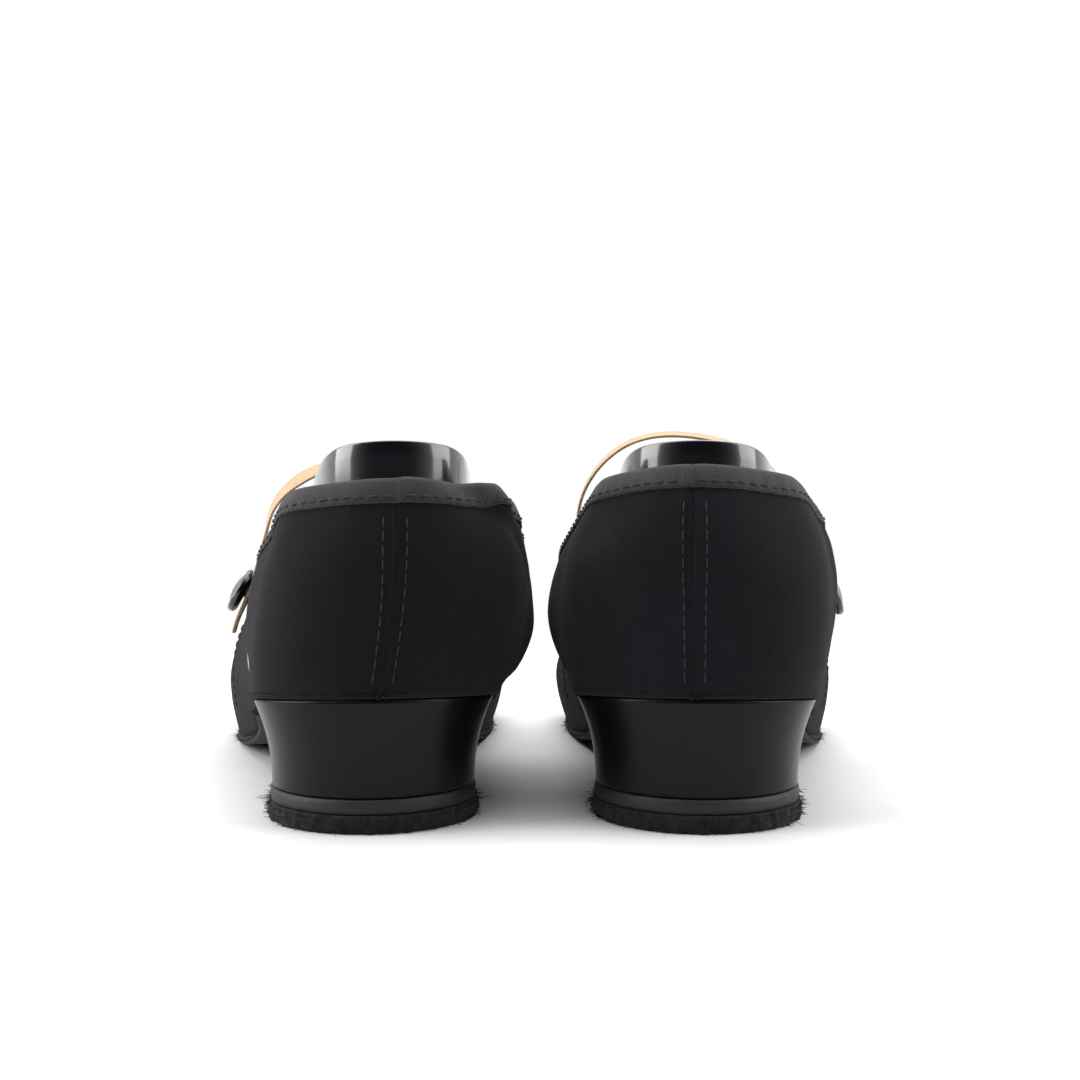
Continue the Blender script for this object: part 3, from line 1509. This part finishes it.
@dataclass
class InstepStrap:
    """Covered elastic, sewn inside the inner wall and hooked on the button outside."""

    shoe: ShoeFrame
    finishes: Finishes
    upper: SoftUpper
    arch: tuple
    twist: tuple
    width: float = 8.0
    thickness: float = 1.0
    along: float = 104.1
    stand_off: float = 1.5
    tail: float = 4.2
    button_drop: float = 9.5
    anchor_depth: float = 11.0
    cords: int = 9

    def path(self) -> list:
        """Centre line of the elastic, from below the button to its sewn end.

        Returns:
            Points in the shoe's frame, in mm.
        """
        rim = self.upper.last.rim(self.along)
        foot = rim - self.button_drop - self.tail
        points = []
        for step in range(4):
            height = foot + (rim - 1.0 - foot) * step / 3
            place, _ = self.upper.snap((60.0, self.along, height), self.stand_off + self.thickness / 2)
            points.append((place.x, self.along, place.z))
        points.extend((across, self.along, height) for across, height in self.arch)
        for height in (rim + 2.0, rim - 4.0, rim - self.anchor_depth):
            place, _ = self.upper.snap((-60.0, self.along, height), -(3.9 + self.thickness / 2))
            points.append((place.x, self.along, place.z))
        return points

    def build(self) -> None:
        """Weave the strap and sew its end."""
        curve, length = through(self.path())
        count = int(length / 1.1)
        rings = []
        middles = []
        for step in range(count + 1):
            where = length * step / count
            point = Vector(curve(where))
            before, after = curve(max(where - 0.4, 0.0)), curve(min(where + 0.4, length))
            run = (Vector(after) - Vector(before)).normalized()
            share = step / count
            level = Vector((0.0, 1.0, 0.0))
            turn = np.interp(share, [0.0, 0.18, 0.35, 0.65, 0.85, 1.0], self.twist)
            level = Matrix.Rotation(math.radians(float(turn)), 3, run) @ level
            out = run.cross(level).normalized()
            level = out.cross(run).normalized()
            rings.append(self.section(point, level, out))
            middles.append((point, out, level))
        patch = skin(rings)
        across = [0.0]
        ring = rings[0]
        for k in range(1, len(ring)):
            across.append(across[-1] + abs((Vector(ring[k]) - Vector(ring[k - 1])).dot(middles[0][2])))
        patch.cloth = [(across[i % len(ring)], patch.cloth[i][1]) for i in range(len(patch.cloth))]
        piece = self.shoe.make("elastic_strap", patch, "elastic", self.finishes, "strap")
        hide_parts(self.shoe.node("elastic_strap"))
        self.build_tack(middles)

    def section(self, middle: Vector, level: Vector, out: Vector) -> list:
        """Ribbed section of the elastic.

        Args:
            middle: centre of the section.
            level: direction across the strap's width.
            out: direction through its thickness.

        Returns:
            Points round the section.
        """
        half = self.width / 2
        steps = self.cords * 4
        face = []
        for step in range(steps + 1):
            share = -1.0 + 2.0 * step / steps
            rib = abs(math.sin(math.pi * self.cords * (share + 1) / 2))
            edge = max(0.0, 1.0 - abs(share) ** 10)
            face.append((share * half, (self.thickness / 2) * (0.62 + 0.38 * rib) * edge**0.5))
        around = face + [(across, -rise) for across, rise in reversed(face[1:-1])]
        return [middle + level * across + out * rise for across, rise in around]

    def build_tack(self, middles: list) -> None:
        """Bar tacks that hold the sewn end to the lining.

        Args:
            middles: point and directions along the elastic.
        """
        tacks = Patch()
        for back in (2, 4, 6, 8):
            point, out, level = middles[-1 - back]
            for step in range(7):
                start = point + level * (-2.8 + 0.85 * step)
                for face in (1.0, -1.0):
                    lift = out * face * (self.thickness / 2 + 0.1)
                    tacks.join(tube([start + lift, start + lift + level * 0.7], 0.16))
        piece = self.shoe.make("strap_stitching", tacks, "thread", self.finishes, "strap")
        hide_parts(self.shoe.node("strap_stitching"))


@dataclass
class ShankButton:
    """Domed button on a wrapped thread shank, set square to the outer wall."""

    shoe: ShoeFrame
    finishes: Finishes
    radius: float = 6.75
    thickness: float = 3.9

    def axis(self) -> tuple[Vector, Vector]:
        """Foot of the button on the wall and its direction, in the row frame, from its joint.

        Returns:
            The foot and the unit direction outwards.
        """
        name = self.shoe.node("button_swivel")
        joint = next(entry for entry in frame["joints"] if entry["name"] == name)
        return Vector(joint["pos_m"]), Vector(joint["axis"]).normalized()

    def build(self) -> None:
        """Turn the button and wrap its thread."""
        foot, out = self.axis()
        local = Vector((out.dot(self.shoe.outward), out.dot(self.shoe.forward), out.z))
        offset = foot - self.shoe.origin
        base = Vector((offset.dot(self.shoe.outward), offset.dot(self.shoe.forward), foot.z)) / MM
        level = Vector((0.0, 1.0, 0.0))
        upright = local.cross(level).normalized()
        profile = (
            (0.02, 3.62), (1.25, 3.6), (1.5, 3.55), (4.7, 3.5), (5.5, 3.62), (6.25, 4.1), (6.66, 4.7),
            (6.75, 5.25), (6.6, 5.75), (6.2, 6.15), (5.7, 6.3), (5.2, 6.28), (4.6, 6.4), (3.4, 6.95),
            (2.0, 7.25), (0.9, 7.36), (0.02, 7.38),
        )
        rings = []
        for radius, rise in profile:
            ring = []
            for step in range(56):
                turn = math.tau * step / 56
                ring.append(
                    base + local * rise + (level * math.cos(turn) + upright * math.sin(turn)) * radius
                )
            rings.append(ring)
        piece = self.shoe.make("button", skin(rings), "button_plastic", self.finishes, "button")
        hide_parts(self.shoe.node("button"))
        wraps = Patch()
        turns, steps = 6, 14
        path = []
        for step in range(turns * steps):
            turn = math.tau * step / steps
            rise = 0.35 + 3.0 * step / (turns * steps)
            path.append(base + local * rise + (level * math.cos(turn) + upright * math.sin(turn)) * 1.2)
        wraps.join(tube(path, 0.24))
        self.shoe.make("button_wraps", wraps, "thread", self.finishes, "shoe")


@dataclass
class CollarFormer:
    """Strip of glossy sheet, bent into a U, that stands in the heel."""

    shoe: ShoeFrame
    finishes: Finishes
    last: LastShape
    half: float = 17.0
    spread: float = 19.7
    back: float = 8.5
    follow: float = 0.94
    front: float = 62.0
    thickness: float = 1.0
    crest: float = 86.0
    floor_lift: float = 5.25
    rows: int = 18

    def plan(self) -> np.ndarray:
        """Middle line of the strip seen from above.

        Returns:
            Points from one front end to the other.
        """
        half, back, middle = self.half, self.back, -self.follow * self.last.lean
        corner = (0.7 * half, back + 0.29 * half)
        rear = [(-half, back + half), (-corner[0], corner[1]), (0.0, back), corner, (half, back + half)]
        points = [(-self.spread, self.front), *rear, (self.spread, self.front)]
        curve, length = through([(middle + x, y) for x, y in points])
        return np.array([curve(length * step / 96) for step in range(97)])

    def top(self, along: float) -> float:
        """Height of the strip's upper edge.

        Args:
            along: distance from the back of the heel.

        Returns:
            The height above the floor.
        """
        points = ((-5.0, 1.5), (8.0, 1.0), (25.0, -3.6), (45.0, -11.5), (66.0, -26.0))
        curve = Smooth([p[0] for p in points], [self.crest + p[1] for p in points])
        return float(curve(along)[0])

    def build(self) -> None:
        """Bend the strip and round its rims."""
        plan = self.plan()
        run = np.gradient(plan, axis=0)
        run /= np.linalg.norm(run, axis=1, keepdims=True)
        side = np.column_stack([run[:, 1], -run[:, 0]])
        rings = []
        for index, (x, y) in enumerate(plan):
            low, high = self.last.foot(y) + self.floor_lift, self.top(y) - 0.1
            out = np.array([side[index][0], side[index][1], 0.0])
            middle = np.array([x, y, 0.0])
            half = self.thickness / 2
            ring = []
            for share in np.linspace(0.0, 1.0, self.rows):
                ring.append(middle + out * half + np.array([0, 0, low + 0.5 + share * (high - low - 1.0)]))
            for turn in (60.0, 30.0, 0.0, -30.0, -60.0):
                angle = math.radians(turn)
                lift = high - half + half * math.cos(angle)
                ring.append(middle + out * half * math.sin(angle) + np.array([0, 0, lift]))
            for share in np.linspace(1.0, 0.0, self.rows):
                ring.append(middle - out * half + np.array([0, 0, low + 0.5 + share * (high - low - 1.0)]))
            for turn in (-60.0, 0.0, 60.0):
                angle = math.radians(turn)
                lift = low + half - half * math.cos(angle)
                ring.append(middle + out * half * math.sin(angle) + np.array([0, 0, lift]))
            rings.append(ring)
        piece = self.shoe.make("collar_former", skin(rings), "former_plastic", self.finishes, "collar")
        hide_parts(self.shoe.node("collar_former"))


# ---------------------------------------------------------------------------------------------
# The pair and the studio
# ---------------------------------------------------------------------------------------------


@dataclass
class DanceShoe:
    """One shoe: its soft shape, its sub-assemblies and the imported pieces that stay."""

    side: Side
    finishes: Finishes
    last: LastShape
    folds: tuple
    ruffle: float
    arch: tuple
    twist: tuple
    kept: tuple = (
        ("heel_counter", "stiffener"), ("toe_puff", "stiffener"), ("insole_board", "leatherboard"),
        ("shank", "steel"), ("shank_rivets", "steel"), ("bottom_filler", "cork"), ("sock", "sock_leather"),
        ("top_piece_nails", "steel"), ("heel_screw", "steel"), ("heel_nails", "steel"),
        ("button_thread", "thread"), ("button_backing", "backing_plastic"),
    )

    def build(self) -> ShoeFrame:
        """Make every piece of the shoe and report it.

        Returns:
            The shoe's own frame.
        """
        shoe = ShoeFrame(self.side)
        for name, slot in self.kept:
            node = frame["nodes"][shoe.node(name)]
            node.data.materials.clear()
            node.data.materials.append(self.finishes[slot])
            LOG.info("%s keeps its packed shape", node.name)
        upper = SoftUpper(shoe, self.finishes, self.last, self.folds, self.ruffle)
        upper.build()
        CubanHeel(shoe, self.finishes, self.last).build()
        SuedeSole(shoe, self.finishes, self.last).build()
        InstepStrap(shoe, self.finishes, upper, self.arch, self.twist).build()
        ShankButton(shoe, self.finishes).build()
        CollarFormer(shoe, self.finishes, self.last).build()
        return shoe


@dataclass
class Studio:
    """Pale floor, soft lamps and a camera low behind the heels."""

    middle: Vector
    distance: float = 0.288
    sideways: float = 0.0007
    height: float = 0.0645
    lens: float = 44.3
    floor_size: float = 9.0
    floor_fade: tuple = (0.2, 0.55)

    def build_floor(self) -> None:
        """Seamless pale floor that shows the shoes' soft shadow."""
        material, tree = new_material("studio_floor_white")
        where = add_node(tree, "ShaderNodeTexCoord", {}).outputs["Object"]
        speck = grain(tree, where, 60.0)
        colour = ramp(tree, speck, "#f6f5f4", "#fdfdfd")
        distance = add_node(tree, "ShaderNodeVectorMath", {0: where}, operation="LENGTH").outputs["Value"]
        near, far = self.floor_fade
        fade = add_node(
            tree,
            "ShaderNodeMapRange",
            {"Value": distance, 1: near, 2: far},
            interpolation_type="SMOOTHSTEP",
        ).outputs[0]
        sheet = add_node(tree, "ShaderNodeBsdfPrincipled", {"Base Color": colour, "Roughness": 0.6})
        sheet.inputs["Specular IOR Level"].default_value = 0.1
        glow = add_node(tree, "ShaderNodeEmission", {"Color": linear("#ffffff"), "Strength": 1.0})
        mixed = add_node(tree, "ShaderNodeMixShader", {0: fade, 1: sheet.outputs[0], 2: glow.outputs[0]})
        add_node(tree, "ShaderNodeOutputMaterial", {"Surface": mixed.outputs[0]})
        half = self.floor_size / 2
        mesh = bpy.data.meshes.new("studio_floor")
        corners = [(-half, -half, 0), (half, -half, 0), (half, half, 0), (-half, half, 0)]
        mesh.from_pydata(corners, [], [(0, 1, 2, 3)])
        mesh.materials.append(material)
        floor = bpy.data.objects.new("studio_floor", mesh)
        bpy.context.scene.collection.objects.link(floor)

    def build_world(self) -> None:
        """White surroundings, dark behind the camera as in a blacked-out studio."""
        world = bpy.data.worlds.new("studio_world")
        bpy.context.scene.world = world
        world.use_nodes = True
        tree = world.node_tree
        tree.nodes.clear()
        rays = add_node(tree, "ShaderNodeLightPath", {})
        way = add_node(tree, "ShaderNodeTexCoord", {}).outputs["Generated"]
        parts = add_node(tree, "ShaderNodeSeparateXYZ", {0: way})
        dark_side = add_node(
            tree, "ShaderNodeMapRange", {"Value": parts.outputs[1], 1: -0.92, 2: -0.35, 3: 0.02, 4: 1.0}
        ).outputs[0]
        mirror = math_node(
            tree, "MAXIMUM", rays.outputs["Is Glossy Ray"], rays.outputs["Is Transmission Ray"]
        )
        reflected = math_node(tree, "MULTIPLY", mirror, dark_side)
        seen = math_node(tree, "MAXIMUM", rays.outputs["Is Camera Ray"], reflected)
        soft = math_node(tree, "MAXIMUM", seen, 0.15)
        darkened = math_node(tree, "MULTIPLY", mirror, math_node(tree, "SUBTRACT", 1.0, dark_side))
        strength = math_node(tree, "MULTIPLY", soft, math_node(tree, "SUBTRACT", 1.0, darkened))
        shade = add_node(tree, "ShaderNodeBackground", {"Color": linear("#ffffff"), "Strength": strength})
        add_node(tree, "ShaderNodeOutputWorld", {"Surface": shade.outputs[0]})

    def add_lamp(self, name: str, place: tuple, size: tuple, power: float) -> None:
        """Soft rectangular lamp that faces the shoes.

        Args:
            name: the lamp's name.
            place: position from the middle of the heels, in metres.
            size: width and height, in metres.
            power: in watts.
        """
        data = bpy.data.lights.new(name, "AREA")
        data.shape = "RECTANGLE"
        data.size, data.size_y = size
        data.energy = power
        lamp = bpy.data.objects.new(name, data)
        lamp.location = self.middle + Vector(place)
        aim = self.middle + Vector((0.0, 0.1, 0.03)) - lamp.location
        lamp.rotation_mode = "QUATERNION"
        lamp.rotation_quaternion = aim.to_track_quat("-Z", "Y")
        bpy.context.scene.collection.objects.link(lamp)

    def build_camera(self) -> None:
        """Level camera behind the heels."""
        data = bpy.data.cameras.new("camera_behind_heels")
        data.lens = self.lens
        data.sensor_width = 36.0
        camera = bpy.data.objects.new("camera_behind_heels", data)
        camera.location = self.middle + Vector((self.sideways, -self.distance, self.height))
        camera.rotation_euler = (math.radians(90.0), 0.0, 0.0)
        bpy.context.scene.collection.objects.link(camera)
        bpy.context.scene.camera = camera

    def build(self) -> None:
        """Set up everything that isn't part of the shoes."""
        self.build_floor()
        self.build_world()
        self.add_lamp("overhead_softbox", (0.0, 0.3, 1.25), (1.6, 1.4), 24.0)
        self.add_lamp("left_softbox", (-1.1, -0.05, 0.55), (0.9, 0.9), 12.0)
        self.add_lamp("right_softbox", (1.1, -0.05, 0.55), (0.9, 0.9), 8.0)
        self.build_camera()
        bpy.context.scene.view_settings.view_transform = "Standard"


def pair_of_shoes(finishes: Finishes) -> list:
    """The right and the left shoe, each with the soft shape of its own cloth.

    Args:
        finishes: the finishes of the pair.

    Returns:
        Both shoes, not yet built.
    """
    right = DanceShoe(
        side=Side.RIGHT,
        finishes=finishes,
        last=LastShape(back_rise=2.0),
        folds=(
            Fold(outer=False, along=14.0, height=68.0, angle=0.0, length=8.0, width=6.0, depth=-1.6),
            Fold(outer=True, along=40.0, height=62.0, angle=75.0, length=16.0, width=3.2, depth=1.0),
            Fold(outer=True, along=52.0, height=60.0, angle=80.0, length=18.0, width=4.0, depth=-1.0),
            Fold(outer=False, along=60.0, height=40.0, angle=0.0, length=36.0, width=12.0, depth=1.4),
            Fold(outer=False, along=56.0, height=77.0, angle=0.0, length=26.0, width=15.0, depth=-3.2),
        ),
        ruffle=0.0,
        arch=((27.5, 75.0), (22.0, 84.5), (0.0, 95.0), (-20.5, 93.0), (-31.0, 83.5), (-35.0, 73.0)),
        twist=(0.0, 0.0, -12.0, -12.0, 0.0, 0.0),
    )
    left = DanceShoe(
        side=Side.LEFT,
        finishes=finishes,
        last=LastShape(lean=5.0, slump=7.6, back_rise=-1.4, outer_drop=6.0),
        folds=(
            Fold(outer=False, along=22.0, height=70.0, angle=-35.0, length=14.0, width=2.6, depth=1.6),
            Fold(outer=False, along=26.0, height=64.0, angle=-35.0, length=16.0, width=3.0, depth=-1.5),
            Fold(outer=True, along=34.0, height=66.0, angle=20.0, length=16.0, width=5.0, depth=-0.8),
            Fold(outer=True, along=76.0, height=74.0, angle=0.0, length=19.0, width=18.0, depth=-8.0),
            Fold(outer=False, along=60.0, height=38.0, angle=0.0, length=36.0, width=12.0, depth=3.2),
        ),
        ruffle=1.1,
        arch=((28.6, 66.5), (26.8, 73.5), (20.0, 81.5), (2.0, 87.5), (-20.0, 83.5), (-33.0, 71.0)),
        twist=(0.0, 6.0, -24.0, -24.0, 0.0, 0.0),
    )
    return [right, left]


def main() -> None:
    """Build the pair and the studio in order."""
    logging.basicConfig(level=logging.INFO, format="%(message)s")
    finishes = Finishes()
    frames = [shoe.build() for shoe in pair_of_shoes(finishes)]
    middle = (frames[0].origin + frames[1].origin) / 2
    Studio(middle).build()


if __name__ == "__main__":
    main()
